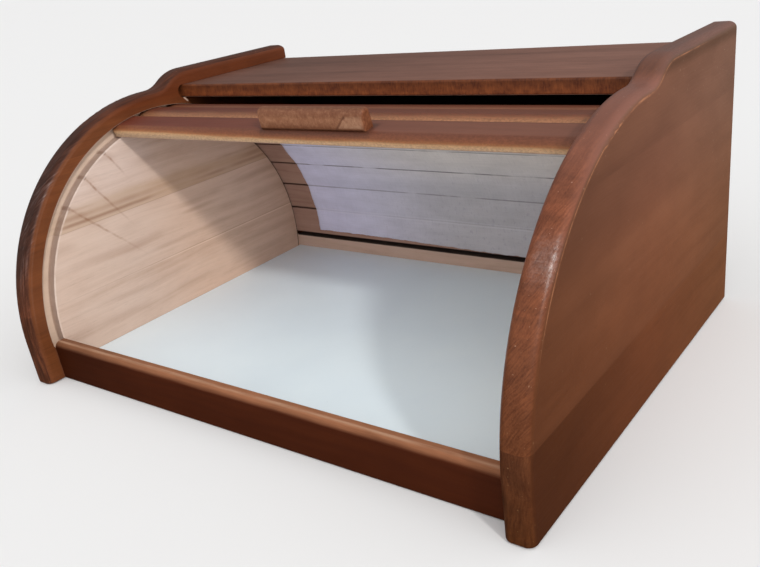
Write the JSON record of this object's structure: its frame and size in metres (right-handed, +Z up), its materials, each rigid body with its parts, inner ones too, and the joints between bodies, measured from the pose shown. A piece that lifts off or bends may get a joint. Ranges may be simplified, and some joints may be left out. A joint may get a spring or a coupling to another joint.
{
  "type": "bread box",
  "caption": "Wooden bread box with a roll-top tambour door of slats on a cloth backing, a flat shelf top between raised side galleries, and a white floor.",
  "frame": {"origin": "centre of the footprint's bounding box, on the surface the box stands on", "axes": "+X to the right seen from the front, -Y out of the opening, +Z up"},
  "size_m": [0.39, 0.29, 0.1835],
  "materials": {
    "stained_wood": "satin lacquer over brown stain",
    "natural_wood": "bare",
    "white_laminate": "white laminated hardboard",
    "hardboard": "bare hardboard",
    "cloth": "plain woven",
    "steel": "zinc plated"
  },
  "bodies": {
    "cabinet": {"left_side_panel": "stained_wood", "right_side_panel": "stained_wood", "top_shelf": "stained_wood", "front_rail": "stained_wood", "rear_rail": "natural_wood", "floor_panel": "white_laminate", "back_panel": "hardboard", "front_rail_dowels": "natural_wood", "rear_rail_dowels": "natural_wood", "back_nails": "steel"},
    "tambour": {"slat_01_lead": "stained_wood", "slat_02": "stained_wood", "slat_03": "stained_wood", "slat_04": "stained_wood", "slat_05": "stained_wood", "slat_06": "stained_wood", "slat_07": "stained_wood", "slat_08": "stained_wood", "slat_09": "stained_wood", "slat_10": "stained_wood", "tambour_cloth": "cloth", "handle": "stained_wood", "handle_screws": "steel"}
  },
  "joints": [
    {"name": "roll_top", "type": "hinge", "parent": "cabinet", "child": "tambour", "pos_m": [0, -0.002, 0.03], "axis": [1, 0, 0], "range_deg": [0, 73.2]}
  ]
}
